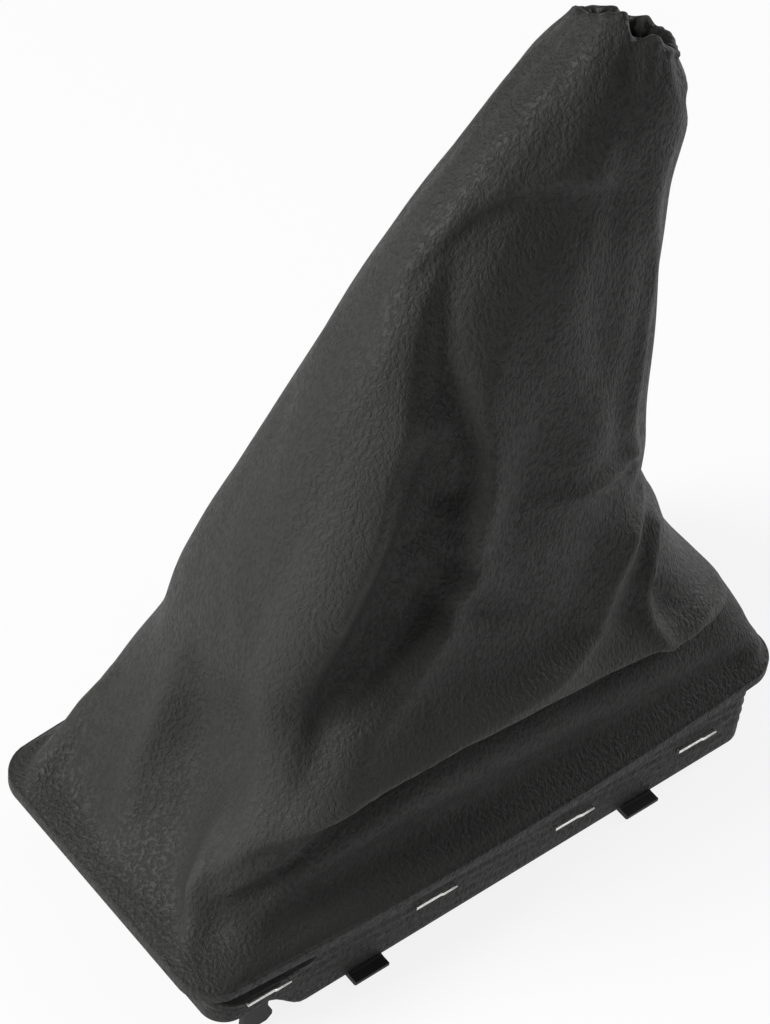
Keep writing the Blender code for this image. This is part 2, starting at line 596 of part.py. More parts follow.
def leg_cutter(name, matrix, x, y):
    """Round cutter for one staple leg, through skin and wall."""
    bm = bmesh.new()
    radius = WIRE_RADIUS + HOLE_CLEARANCE
    depth = 2 * (SKIN + GAP + WALL + TUCK_PROUD)
    bmesh.ops.create_cone(bm, cap_ends=True, segments=8, radius1=radius, radius2=radius, depth=depth)
    mesh = bpy.data.meshes.new(name + "_hole")
    bm.to_mesh(mesh)
    bm.free()
    cutter = bpy.data.objects.new(mesh.name, mesh)
    cutter.matrix_world = matrix @ Matrix.Translation((x, y, 0.0))
    return hide_guide(cutter)


def make_staples(material):
    """All staples, and the cutters of their holes."""
    cutters = []
    first = FIRST_STAPLE_FROM_FRONT - RIM_LENGTH / 2
    last = RIM_LENGTH / 2 - LAST_STAPLE_FROM_REAR
    for side, word in ((-1.0, "near"), (1.0, "far")):
        for i, (share, z) in enumerate(SIDE_STAPLE_PLACES):
            x = first + share * (last - first)
            proud = TUCK_PROUD if i == 0 else 0.0
            matrix = side_frame(side, x, z)
            cutters += make_staple(f"staple_{word}_{i + 1}", matrix, proud, material)
    for end, word in ((-1.0, "front"), (1.0, "rear")):
        for i, side in enumerate((-1.0, 1.0)):
            matrix = end_frame(end, side * END_STAPLES_APART / 2, END_STAPLE_HEIGHT)
            cutters += make_staple(f"staple_{word}_{i + 1}", matrix, 0.0, material)
    return cutters


def main():
    """Clear the scene and build the gaiter."""
    for obj in list(bpy.data.objects):
        bpy.data.objects.remove(obj)
    for name in ("handbrake_gaiter", "cutters"):
        bpy.context.scene.collection.children.link(bpy.data.collections.new(name))
    leatherette = make_material("charcoal_leatherette", (0.045, 0.045, 0.043), 0.62)
    plastic = make_material("black_moulded_plastic", (0.012, 0.013, 0.013), 0.5)
    elastic = make_material("black_elastic", (0.02, 0.02, 0.02), 0.9)
    steel = make_material("galvanised_wire", (0.75, 0.75, 0.73), 0.3, 1.0)
    skin = make_skin(leatherette)
    frame = make_frame(plastic)
    make_elastic(elastic)
    for cutter in make_staples(steel):
        boolean(frame, cutter, "DIFFERENCE")
        boolean(skin, cutter, "DIFFERENCE")


main()
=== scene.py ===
"""Looks of the handbrake gaiter: grained leatherette sleeve, moulded frame, wire staples, knitted elastic.

Metres, +Z up, in the frame of the CAD model. The sleeve's form, its rim and its hem follow the same
sizes as the CAD solids, with a finer mesh, smaller wrinkles and a ruffled neck.
"""
from math import cos, pi, radians, sin

import bmesh
import bpy
import numpy as np
from mathutils import Matrix, Vector


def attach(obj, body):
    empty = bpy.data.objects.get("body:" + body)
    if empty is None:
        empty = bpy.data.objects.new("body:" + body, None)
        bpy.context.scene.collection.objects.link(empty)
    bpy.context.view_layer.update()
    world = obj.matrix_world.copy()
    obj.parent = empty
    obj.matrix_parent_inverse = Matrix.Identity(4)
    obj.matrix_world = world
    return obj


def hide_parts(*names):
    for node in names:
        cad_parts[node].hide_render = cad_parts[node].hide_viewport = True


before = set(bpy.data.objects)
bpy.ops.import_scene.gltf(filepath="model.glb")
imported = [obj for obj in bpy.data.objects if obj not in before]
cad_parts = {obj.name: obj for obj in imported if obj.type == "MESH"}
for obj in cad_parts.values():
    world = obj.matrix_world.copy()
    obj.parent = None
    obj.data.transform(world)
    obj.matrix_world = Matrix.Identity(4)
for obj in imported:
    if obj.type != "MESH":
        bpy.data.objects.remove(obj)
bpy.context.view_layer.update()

# Camera, fitted to the rim's corners and the neck
CAMERA_POINT = (-0.37835, -0.3845, 0.7095)
CAMERA_RIGHT = (0.7835, -0.6158, 0.0830)
CAMERA_UP = (0.4216, 0.6251, 0.6569)
LENS_MM = 126.56
SENSOR_MM = 36.0

# Sizes of the CAD solids. RIM_INSET is also the radius of the rim's rolled edge.
RIM_LENGTH = 0.178
RIM_WIDTH = 0.083
RIM_BOW = 0.0035
RIM_CORNER = 0.009
RIM_TOP = 0.0284
RIM_INSET = 0.0006
SKIN = 0.0010
GAP = 0.0003
FLANGE = 0.0012
FLANGE_BOTTOM = RIM_TOP - 2 * (SKIN + GAP) - FLANGE
SLEEVE_HEIGHT = 0.2071
SKIRT_INSET_END = 0.006
SKIRT_INSET_SIDE = 0.0010
SKIRT_CORNER = 0.0065
SKIRT_BOTTOM = 0.0016
HEM_SHORT = 0.0008
FRONT_RELIEF = 0.0093
RELIEF_LENGTH = 0.032
RELIEF_RUN = 0.012
TUCK_PROUD = 0.0015
TUCK_BOTTOM = 0.0180
TUCK_LENGTH = 0.033
NECK_FROM_REAR = 0.0512
NECK_HALF_LENGTH = 0.0136
NECK_HALF_WIDTH = 0.0118
NECK_TILT = radians(37.0)
NECK_SIDE_TILT = radians(7.0)
CASING = 0.0066
ELASTIC_TOP = 0.980
HEM_END = 0.945
SHORT_SHARE = 0.125
CORNER_SHARE = 0.0625
LONG_SHARE = 0.25

# The tucked part of the hem ends 0.4 mm lower than in the CAD solids, which opens the slot above it to
# view. It steps out within short runs: at the corners, at its rear end and at its two edges.
TUCK_TOP = 0.0212
TUCK_CORNER_RUN = 0.002
TUCK_END_RUN = 0.0008
TUCK_LOWER_RUN = 0.0006
TUCK_UPPER_RUN = 0.0005

# Slight waves of the stretched hem: how many go round, how deep, how far each slants up the hem
# (radians), and how soon they start above the cut edge
HEM_WAVES = 23
HEM_WAVE_DEPTH = 0.00015
HEM_WAVE_SLANT = 40
HEM_WAVE_RISE = 3

# Gathers of the neck, shallower than in the CAD solids because the ruffles of the mouth add to them
GATHERS = 13
MINOR_GATHERS = 9
MINOR_SHARE = 0.5
MINOR_PHASE = 1.3
GATHER_DEPTH = 0.0003
GATHER_START = 0.92
GATHER_RUN = 0.06

# Form of the sleeve from rim (0) to neck (1). Each row gives the way along, then how far the front
# line has come to the neck in x and z, the same for the rear line, and how far the sides have come
# in. Then how round the section is, its corner radius as a share of the rim's, and the share of the
# neck's side tilt.
STATIONS = np.array((
    (0.00, 0.000, 0.000, 0.000, 0.000, 0.000, 0.00, 1.00, 0.00),
    (0.07, 0.095, 0.032, 0.060, 0.030, 0.072, 0.05, 1.20, 0.00),
    (0.16, 0.226, 0.172, 0.165, 0.091, 0.190, 0.15, 1.55, 0.00),
    (0.30, 0.269, 0.354, 0.495, 0.200, 0.315, 0.40, 2.00, 0.15),
    (0.48, 0.405, 0.554, 0.765, 0.396, 0.475, 0.75, 2.00, 0.35),
    (0.66, 0.601, 0.750, 0.830, 0.609, 0.650, 0.95, 1.70, 0.55),
    (0.82, 0.789, 0.887, 0.890, 0.800, 0.800, 1.00, 1.60, 0.75),
    (0.94, 0.935, 0.968, 0.876, 0.941, 0.880, 1.00, 1.30, 0.90),
    (1.00, 1.000, 1.000, 1.000, 1.000, 1.000, 1.00, 1.15, 1.00),
))

# Folds of the sleeve, in units of FOLD_UNIT: half width on the right of the line, half width on the
# left, and the points of the line (way round, way up, height). The way round starts at the middle of
# the rear end and runs by the far side, the front end and the near side. Over the shares FOLD_FADE and
# BOW_FADE of the way up, the folds set in and the bow of the rim dies out. OUTLINE_STEP is the share
# round over which the direction of the outline is taken.
FOLD_UNIT = 0.001
FOLD_FADE = 0.04
BOW_FADE = 0.16
OUTLINE_STEP = 0.008
FOLDS = {
    "panel_edge": (14.0, 3.5, ((0.530, 0.72, 0.5), (0.560, 0.645, 3.0), (0.594, 0.555, 4.5),
            (0.604, 0.455, 5.0), (0.598, 0.345, 4.5), (0.588, 0.245, 3.5), (0.578, 0.17, 0.5))),
    "main_valley": (11.0, 3.5, ((0.570, 0.69, -1.0), (0.601, 0.635, -3.0), (0.632, 0.565, -3.5),
            (0.662, 0.49, -5.0), (0.680, 0.415, -8.0), (0.668, 0.36, -8.5), (0.642, 0.295, -7.0),
            (0.606, 0.24, -4.5), (0.590, 0.19, -0.5))),
    "pocket_bump": (4.5, 4.5, ((0.609, 0.59, 0.5), (0.626, 0.555, 3.0), (0.638, 0.53, 0.5))),
    "belly_crease": (2.5, 2.0, ((0.627, 0.608, -1.0), (0.647, 0.578, -3.0), (0.672, 0.538, -4.0),
            (0.680, 0.498, -3.5), (0.672, 0.478, -1.5))),
    "belly_ridge": (3.5, 6.0, ((0.625, 0.69, 0.0), (0.656, 0.61, 2.0), (0.679, 0.55, 3.0),
            (0.694, 0.49, 3.0), (0.688, 0.42, 2.0), (0.674, 0.36, 0.5))),
    "belly_hollow": (9.0, 9.0, ((0.712, 0.62, -0.5), (0.738, 0.54, -2.0), (0.735, 0.47, -2.0),
            (0.745, 0.41, -0.5))),
    "belly_swell": (7.0, 7.0, ((0.775, 0.60, 0.5), (0.800, 0.54, 1.5), (0.812, 0.50, 1.0))),
    "belly_arc": (2.5, 2.0, ((0.746, 0.472, 0.5), (0.790, 0.478, 1.5), (0.835, 0.492, 1.8),
            (0.875, 0.51, 1.0))),
    "belly_groove": (3.0, 3.0, ((0.672, 0.372, -1.0), (0.709, 0.353, -2.2), (0.750, 0.34, -0.5))),
    "foot_swell": (7.0, 7.0, ((0.700, 0.39, 1.0), (0.672, 0.325, 2.0), (0.640, 0.27, 2.5),
            (0.612, 0.225, 1.0))),
    "waist_long_ridge": (3.0, 4.5, ((0.886, 0.43, 1.5), (0.852, 0.40, 3.0), (0.826, 0.343, 3.0),
            (0.802, 0.275, 2.5), (0.772, 0.248, 2.0), (0.720, 0.222, 1.5), (0.670, 0.196, 1.5),
            (0.600, 0.168, 1.0))),
    "waist_short_ridge": (2.5, 2.5, ((0.890, 0.385, 2.0), (0.872, 0.347, 2.5), (0.856, 0.308, 2.5),
            (0.844, 0.25, 2.0), (0.841, 0.20, 1.0))),
    "waist_hem_ridge": (3.0, 3.0, ((0.910, 0.20, 1.5), (0.888, 0.222, 2.0), (0.860, 0.203, 1.5),
            (0.842, 0.195, 0.5))),
    "waist_gap": (3.0, 3.0, ((0.868, 0.39, -1.2), (0.845, 0.32, -1.0), (0.825, 0.25, -0.5))),
    "waist_pit": (3.5, 3.5, ((0.864, 0.285, -0.6), (0.859, 0.25, -0.9))),
    "waist_notch": (5.0, 6.0, ((0.885, 0.43, -2.0), (0.925, 0.425, -6.0), (0.970, 0.42, -2.0))),
    "sill_edge": (2.5, 10.0, ((0.553, 0.105, 2.5), (0.580, 0.145, 4.0), (0.625, 0.18, 5.0),
            (0.680, 0.202, 5.5), (0.750, 0.213, 5.5), (0.830, 0.205, 5.0), (0.880, 0.192, 3.5),
            (0.920, 0.18, 0.5))),
    "sill_under": (5.0, 4.0, ((0.575, 0.125, -1.0), (0.625, 0.155, -2.5), (0.690, 0.172, -2.5),
            (0.760, 0.176, -2.5), (0.830, 0.17, -2.0), (0.880, 0.16, -0.5))),
    "sill_trough": (9.0, 6.0, ((0.567, 0.06, -2.5), (0.600, 0.074, -3.5), (0.690, 0.088, -4.0),
            (0.760, 0.086, -4.0), (0.830, 0.08, -3.0), (0.880, 0.07, -1.5), (0.900, 0.06, 0.0))),
    "neck_step": (12.0, 3.0, ((0.545, 0.70, -1.5), (0.566, 0.75, -2.5), (0.604, 0.78, -3.0),
            (0.655, 0.80, -3.0), (0.710, 0.812, -1.5))),
    "neck_band": (6.0, 6.0, ((0.700, 0.92, -0.5), (0.735, 0.83, -1.2), (0.768, 0.72, -1.5),
            (0.785, 0.62, -1.2))),
    "neck_rear_ridge": (3.5, 3.5, ((0.800, 0.86, 0.5), (0.846, 0.76, 1.2), (0.845, 0.65, 1.8),
            (0.848, 0.55, 2.0), (0.870, 0.48, 1.0))),
    "near_rear_corner": (8.0, 8.0, ((0.908, 0.02, 0.0), (0.908, 0.05, 1.0), (0.912, 0.11, 1.5),
            (0.918, 0.17, 0.5))),
    "front_ridge": (6.0, 5.0, ((0.455, 0.24, 0.5), (0.461, 0.17, 2.0), (0.471, 0.11, 2.5),
            (0.490, 0.065, 2.0), (0.525, 0.06, 1.0))),
    "front_hollow": (7.0, 7.0, ((0.482, 0.19, -0.5), (0.497, 0.15, -2.0), (0.515, 0.125, -2.0),
            (0.530, 0.10, -0.5))),
    "near_front_corner": (4.0, 2.5, ((0.548, 0.13, 1.5), (0.552, 0.095, 3.5), (0.557, 0.055, 3.0),
            (0.560, 0.02, 1.0))),
    "far_front_corner": (6.0, 3.0, ((0.404, 0.14, 0.0), (0.410, 0.105, 3.0), (0.421, 0.065, 4.0),
            (0.438, 0.025, 1.5))),
    "far_sill_edge": (10.0, 5.0, ((0.400, 0.12, 0.5), (0.350, 0.165, 3.5), (0.270, 0.19, 4.5),
            (0.190, 0.18, 4.0), (0.110, 0.15, 0.5))),
    "far_sill_trough": (7.0, 8.0, ((0.390, 0.07, 0.0), (0.310, 0.10, -3.5), (0.200, 0.10, -3.5),
            (0.110, 0.07, 0.0))),
    "far_valley": (8.0, 6.0, ((0.300, 0.74, 0.0), (0.280, 0.58, -3.5), (0.310, 0.44, -4.5),
            (0.350, 0.30, -3.0), (0.370, 0.22, 0.0))),
    "far_ridge": (9.0, 7.0, ((0.180, 0.66, 0.0), (0.200, 0.50, 3.0), (0.170, 0.36, 3.5),
            (0.130, 0.26, 0.0))),
    "rear_ridge": (8.0, 6.0, ((0.020, 0.40, 0.0), (0.030, 0.29, 2.5), (0.020, 0.18, 1.5),
            (0.015, 0.08, 0.0))),
}

# Crisper details of the sleeve that only the finer mesh can hold, in the same terms as FOLDS
FINE_FOLDS = {
    "panel_lip": (5.0, 2.6, ((0.548, 0.70, 0.2), (0.580, 0.655, 1.2), (0.604, 0.605, 1.9),
            (0.615, 0.55, 2.0), (0.619, 0.49, 1.9), (0.616, 0.44, 1.2), (0.604, 0.36, 0.3))),
    "valley_left": (4.5, 5.5, ((0.636, 0.470, -0.5), (0.634, 0.430, -2.0), (0.628, 0.387, -2.2),
            (0.620, 0.344, -2.0), (0.606, 0.300, -1.6), (0.590, 0.240, -1.2), (0.578, 0.190, -0.6))),
    "valley_right": (6.0, 7.0, ((0.676, 0.480, 0.5), (0.674, 0.428, 3.2), (0.664, 0.384, 3.8),
            (0.655, 0.339, 3.2), (0.638, 0.297, 2.0), (0.616, 0.257, 1.2), (0.602, 0.215, 0.6))),
    "ridge_ease": (3.5, 6.0, ((0.625, 0.69, 0.0), (0.656, 0.61, -1.1), (0.679, 0.55, -1.2),
            (0.694, 0.49, -0.6), (0.688, 0.42, -0.4))),
    "corner_post": (6.0, 5.0, ((0.550, 0.112, 0.4), (0.553, 0.085, 1.2), (0.557, 0.055, 1.4),
            (0.564, 0.022, 0.4))),
    "sill_lip": (2.4, 7.5, ((0.550, 0.080, 0.6), (0.562, 0.096, 1.8), (0.576, 0.110, 3.0),
            (0.594, 0.124, 3.0), (0.620, 0.142, 1.8), (0.650, 0.156, 0.4))),
    "sill_shadow": (4.5, 2.5, ((0.574, 0.092, -0.4), (0.594, 0.110, -2.4), (0.620, 0.130, -3.2),
            (0.650, 0.150, -3.0), (0.690, 0.172, -2.6), (0.760, 0.186, -2.2), (0.830, 0.184, -1.8),
            (0.880, 0.172, -0.6))),
    "front_slope": (14.0, 9.0, ((0.520, 0.25, -0.5), (0.530, 0.20, -2.2), (0.537, 0.155, -2.6),
            (0.540, 0.125, -1.0))),
    "rim_swell": (7.0, 7.0, ((0.600, 0.045, 0.8), (0.690, 0.055, 1.5), (0.760, 0.055, 1.5),
            (0.850, 0.05, 0.8))),
    "waist_long_crest": (1.4, 1.4, ((0.886, 0.43, 0.4), (0.852, 0.40, 0.6), (0.826, 0.343, 0.6),
            (0.802, 0.275, 0.5), (0.772, 0.248, 0.4), (0.720, 0.222, 0.2))),
    "waist_short_crest": (1.4, 1.4, ((0.890, 0.385, 0.5), (0.872, 0.347, 0.5), (0.856, 0.308, 0.5),
            (0.844, 0.25, 0.4), (0.841, 0.20, 0.2))),
    "waist_fill": (4.0, 4.0, ((0.862, 0.385, 0.9), (0.845, 0.32, 1.6), (0.830, 0.25, 0.9))),
    "waist_left_fill": (4.5, 3.0, ((0.868, 0.45, 0.4), (0.838, 0.405, 1.6), (0.812, 0.343, 1.8),
            (0.788, 0.275, 1.4), (0.760, 0.248, 0.5))),
    "arc_end": (2.6, 2.2, ((0.862, 0.503, -0.4), (0.882, 0.514, -1.0))),
    "front_dip": (8.0, 8.0, ((0.478, 0.21, -0.8), (0.493, 0.16, -1.6), (0.512, 0.12, -1.2))),
    "neck_front_flat": (9.0, 9.0, ((0.420, 1.00, -1.6), (0.428, 0.94, -3.0), (0.434, 0.88, -2.4),
            (0.440, 0.80, -0.8))),
    "neck_rear_tuck": (4.0, 4.0, ((0.865, 0.930, -1.2), (0.905, 0.925, -1.8), (0.945, 0.930, -1.0))),
    "neck_hollow": (5.0, 5.0, ((0.655, 0.965, -0.9), (0.675, 0.90, -0.8))),
}

# Rise of the ruffled mouth above its plane (way round, rise in FOLD_UNIT), averaged over MOUTH_SHIFTS
MOUTH = ((0.00, 0.6), (0.04, 0.9), (0.08, 1.2), (0.12, -1.0), (0.16, 0.2), (0.20, -0.8), (0.24, -2.0),
         (0.30, -2.6), (0.36, -2.2), (0.44, -2.0), (0.48, -1.0), (0.52, 0.4), (0.555, 1.6), (0.575, 3.0),
         (0.598, 1.2), (0.625, -1.4), (0.65, -1.4), (0.68, -0.2), (0.70, 1.4), (0.73, 0.0), (0.77, -0.4),
         (0.84, -0.8), (0.92, -0.3), (0.96, 1.0), (1.00, 0.6))
MOUTH_START = 0.90
MOUTH_SHIFTS = (-0.012, -0.006, 0.0, 0.006, 0.012)

# Ruffles of the drawn-in hem: how many, how far they drift (size, turns round, phase) and how their
# size comes and goes. The mouth of the far side has small ones of its own, up to FAR_END of the way.
RUFFLES = 19
RUFFLE = 0.0008
RUFFLE_DRIFT = 1.6
DRIFTS = ((0.9, 3, 0.7), (0.6, 5, 2.1))
RUFFLE_SWELL = 0.25
RUFFLE_SWELLS = 4
FAR_RUFFLE = 0.0004
FAR_END = 0.32
FAR_FADE = 0.04

# Small undulations of the slack skin (turns round, turn up the sleeve in radians, height in FOLD_UNIT).
# They set in above the rim and are weaker from the neck up, where the skin is stretched.
UNDULATIONS = ((5, 9, 0.30), (9, 14, 0.22), (14, 22, 0.14), (21, 30, 0.08))
UNDULATION_SEED = 7
UNDULATION_DRIFT = 1.5
UNDULATION_CROSSING = 1.4
SLACK_START = 0.08
NECK_START = 0.85
NECK_RUN = 0.10
NECK_STRETCH = 0.6

# Mesh of the skin: points round, in three runs so that the sides in view are finest, and rows up
# the hem, round the rim, up the sleeve and over the lip of the neck. Inside the neck each row has its
# way up and the share of the casing's depth that it lies inside.
ROUND_RUNS = ((0.0, 0.40, 58), (0.40, 0.94, 174), (0.94, 1.0, 10))
HEM_ROWS = (8, 18)
HEM_FINE_FROM = 0.45
FOOT_ROWS = 66
UPPER_ROWS = 84
FOOT_TOP = 0.30
RIM_ROWS = 5
LIP_ROWS = 6
INNER_ROWS = ((0.994, 0.62), (0.988, 0.8), (ELASTIC_TOP, 1.0), (0.96, 1.0), (HEM_END, 1.0))
INNER_BULGE = 0.6

# Patterns of the materials. The grain is drawn at about 1 mm, as the photograph shows it. The
# texture of the plastic and the spots of the wire are too fine to show, and are drawn at 0.5 to 1 mm.
WARP_SIZE = 0.006
WARP_SHIFT = 0.0016
GRAIN_STRETCH = 0.55
WRINKLE_SIZE = 0.0009
PEBBLE_SIZE = 0.0010
GRAIN_DEPTH = 0.00018
CLOUD_SIZE = 0.03
KNIT_LOOP = 0.0011
KNIT_DEPTH = 0.0003
SPARKS_A_METRE = 1800.0
SPARK_DEPTH = 0.00006
FLOWS_A_METRE = 60.0
SPOTS_A_METRE = 900.0
SPOT_DEPTH = 0.00003
RIB_SCALE = 300.0
RIB_DEPTH = 0.0002

# Height of a fold, in FOLD_UNIT, at which its crest starts to be drawn paler, and where it is palest
CREST_PALE_FROM = 1.0
CREST_PALE_FULL = 6.0

# Floor, surround, and lights (name, place, side length, watts). FLOOR_GLOW is the share of plain
# white that the camera sees in the floor.
FLOOR_HALF_WIDTH = 3.0
FLOOR_GLOW = 0.85
SURROUND_STRENGTH = 0.13
LIGHT_AIM = (0.0, 0.0, 0.1)
LIGHTS = (
    ("key", (-1.1, 0.35, 0.85), 0.6, 23.0),
    ("rear", (1.1, -0.05, 0.35), 0.3, 6.0),
    ("front_right", (0.6, -0.7, 1.0), 0.4, 1.5),
)


def srgb(code):
    """Linear colour of an sRGB hex code."""
    values = [int(code[i:i + 2], 16) / 255 for i in (0, 2, 4)]
    return tuple(v / 12.92 if v <= 0.04045 else ((v + 0.055) / 1.055) ** 2.4 for v in values) + (1.0,)


def make_camera():
    """Camera at the photograph's viewing angle."""
    data = bpy.data.cameras.new("camera")
    data.lens = LENS_MM
    data.sensor_width = SENSOR_MM
    camera = bpy.data.objects.new("camera", data)
    right = Vector(CAMERA_RIGHT).normalized()
    up = Vector(CAMERA_UP).normalized()
    rotation = Matrix((right, up, right.cross(up))).transposed()
    camera.matrix_world = Matrix.Translation(CAMERA_POINT) @ rotation.to_4x4()
    bpy.context.scene.collection.objects.link(camera)
    bpy.context.scene.camera = camera


def smooth_step(x):
    """Eased ramp from 0 to 1."""
    x = np.clip(x, 0.0, 1.0)
    return x * x * (3.0 - 2.0 * x)


def rail(column, t):
    """Values of one station column at t, on a smooth cubic through all stations."""
    knots = STATIONS[:, 0]
    values = STATIONS[:, column]
    steps = np.diff(knots)
    slopes = np.diff(values) / steps
    tangents = np.empty_like(values)
    tangents[0] = slopes[0]
    tangents[-1] = slopes[-1]
    tangents[1:-1] = (slopes[:-1] * steps[1:] + slopes[1:] * steps[:-1]) / (knots[2:] - knots[:-2])
    i = np.clip(np.searchsorted(knots, t, side="right") - 1, 0, len(knots) - 2)
    s = (t - knots[i]) / steps[i]
    start = values[i] * (2 * s**3 - 3 * s**2 + 1) + tangents[i] * steps[i] * (s**3 - 2 * s**2 + s)
    end = values[i + 1] * (3 * s**2 - 2 * s**3) + tangents[i + 1] * steps[i] * (s**3 - s**2)
    return start + end


def rounded_rectangle(u, half_length, half_width, corner):
    """Points of a rounded rectangle at the shares u of the way round."""
    u = np.mod(u, 1.0)
    half = np.where(u > 0.5, 1.0 - u, u)
    quarter = np.where(half > 0.25, 0.5 - half, half)
    on_short = quarter / (SHORT_SHARE / 2)
    on_corner = (quarter - SHORT_SHARE / 2) / CORNER_SHARE
    on_long = (quarter - SHORT_SHARE / 2 - CORNER_SHARE) / (LONG_SHARE / 2)
    angle = np.clip(on_corner, 0.0, 1.0) * np.pi / 2
    x = np.where(quarter < SHORT_SHARE / 2, half_length, half_length - corner + corner * np.cos(angle))
    x = np.where(on_corner < 1.0, x, (half_length - corner) * (1.0 - np.clip(on_long, 0.0, 1.0)))
    y = np.where(quarter < SHORT_SHARE / 2, (half_width - corner) * on_short,
                 half_width - corner + corner * np.sin(angle))
    return np.where(half > 0.25, -x, x), np.where(u > 0.5, -y, y)


def bowed(x, y, half_length, bow):
    """Long sides bowed outward, most at mid length."""
    return y + np.sign(y) * bow * (1.0 - (x / half_length) ** 2)


def ring(u, inset_end, inset_side, corner, bow, z):
    """Ring of points round the rim or the hem, set in from the rim's outermost line."""
    half_length = RIM_LENGTH / 2 - inset_end
    x, y = rounded_rectangle(u, half_length, RIM_WIDTH / 2 - inset_side, corner)
    y = bowed(x, y, half_length, bow)
    return np.stack([x, y, np.zeros_like(x) + z], axis=-1)


def hem_row(u, share):
    """Row of the hem at a share of the way from its cut edge up to the flange."""
    base = ring(u, SKIRT_INSET_END, SKIRT_INSET_SIDE, SKIRT_CORNER, 0.0, 0.0)
    relief = smooth_step((RELIEF_LENGTH - RIM_LENGTH / 2 - base[:, 0]) / RELIEF_RUN)
    bottom = SKIRT_BOTTOM + HEM_SHORT + FRONT_RELIEF * relief
    z = bottom + share * (FLANGE_BOTTOM - bottom)
    corner_share = smooth_step((np.abs(base[:, 1]) - RIM_WIDTH / 4) / TUCK_CORNER_RUN)
    end_share = smooth_step((TUCK_LENGTH - RIM_LENGTH / 2 - base[:, 0]) / TUCK_END_RUN)
    up_share = smooth_step((z - TUCK_BOTTOM) / TUCK_LOWER_RUN) * smooth_step((TUCK_TOP - z) / TUCK_UPPER_RUN)
    proud = TUCK_PROUD * corner_share * end_share * up_share
    wave = np.sin(2 * np.pi * HEM_WAVES * u + HEM_WAVE_SLANT * share)
    proud += HEM_WAVE_DEPTH * wave * smooth_step(share * HEM_WAVE_RISE)
    out = ring(u, SKIRT_INSET_END - proud, SKIRT_INSET_SIDE - proud, SKIRT_CORNER + proud, 0.0, 0.0)
    out[:, 2] = z
    return out


def rim_rows(u):
    """Rows of the skin round the edge of the flange, from under it to its top."""
    rows = []
    lower = FLANGE_BOTTOM + RIM_INSET
    upper = RIM_TOP - RIM_INSET
    for turn in np.linspace(0.0, pi / 2, RIM_ROWS):
        inset = RIM_INSET * (1.0 - sin(turn))
        rows.append(ring(u, inset, inset, RIM_CORNER - inset, RIM_BOW, lower - RIM_INSET * cos(turn)))
    for turn in np.linspace(0.0, pi / 2, RIM_ROWS)[:-1]:
        inset = RIM_INSET * (1.0 - cos(turn))
        rows.append(ring(u, inset, inset, RIM_CORNER - inset, RIM_BOW, upper + RIM_INSET * sin(turn)))
    return rows


def fold_height(u, t, around):
    """Height of all folds at the points u of the rows t, where each row measures around."""
    total = np.zeros_like(u)
    for right, left, points in [*FOLDS.values(), *FINE_FOLDS.values()]:
        nearest = np.full_like(u, 1.0e9)
        height = np.zeros_like(u)
        half_width = np.ones_like(u)
        for (u0, t0, h0), (u1, t1, h1) in zip(points, points[1:]):
            du = (np.mod(u - u0 + 0.5, 1.0) - 0.5) * around
            dt = (t - t0) * SLEEVE_HEIGHT
            run_u = (np.mod(u1 - u0 + 0.5, 1.0) - 0.5) * around
            run_t = (t1 - t0) * SLEEVE_HEIGHT
            run = np.hypot(run_u, run_t)
            share = np.clip((du * run_u + dt * run_t) / run**2, 0.0, 1.0)
            distance = np.hypot(du - share * run_u, dt - share * run_t)
            to_left = (run_u * dt - run_t * du) / (run * np.maximum(distance, FOLD_UNIT / 1000))
            left_share = 0.5 + 0.5 * np.clip(to_left, -1.0, 1.0)
            closer = distance < nearest
            nearest = np.where(closer, distance, nearest)
            height = np.where(closer, h0 + (h1 - h0) * share, height)
            half_width = np.where(closer, right + (left - right) * left_share, half_width)
        total += height * np.exp(-((nearest / (half_width * FOLD_UNIT)) ** 2))
    return total * FOLD_UNIT * smooth_step(t / FOLD_FADE)


def gather_wave(u):
    """Pleats that the elastic draws in round the neck, from -1 to 1."""
    minor = np.cos(2 * np.pi * MINOR_GATHERS * u + MINOR_PHASE)
    return (np.cos(2 * np.pi * GATHERS * u) + MINOR_SHARE * minor) / (1.0 + MINOR_SHARE)


def mouth_rise(u):
    """Rise of the ruffled mouth at u, rounded between its named places."""
    shares = np.array([place for place, _ in MOUTH])
    rises = np.array([rise for _, rise in MOUTH])
    total = np.zeros_like(u)
    for shift in MOUTH_SHIFTS:
        total += np.interp(np.mod(u + shift, 1.0), shares, rises) / len(MOUTH_SHIFTS)
    far = smooth_step((FAR_END - u) / FAR_FADE)
    return total * FOLD_UNIT + FAR_RUFFLE * far * ruffle(u)


def ruffle(u):
    """Uneven bulges of the drawn-in hem, from -1 to 1."""
    drift = sum(size * np.sin(2 * np.pi * turns * u + phase) for size, turns, phase in DRIFTS)
    swell = 1.0 - RUFFLE_SWELL + RUFFLE_SWELL * np.sin(2 * np.pi * RUFFLE_SWELLS * u)
    return np.sin(2 * np.pi * RUFFLES * u + RUFFLE_DRIFT * drift) * swell


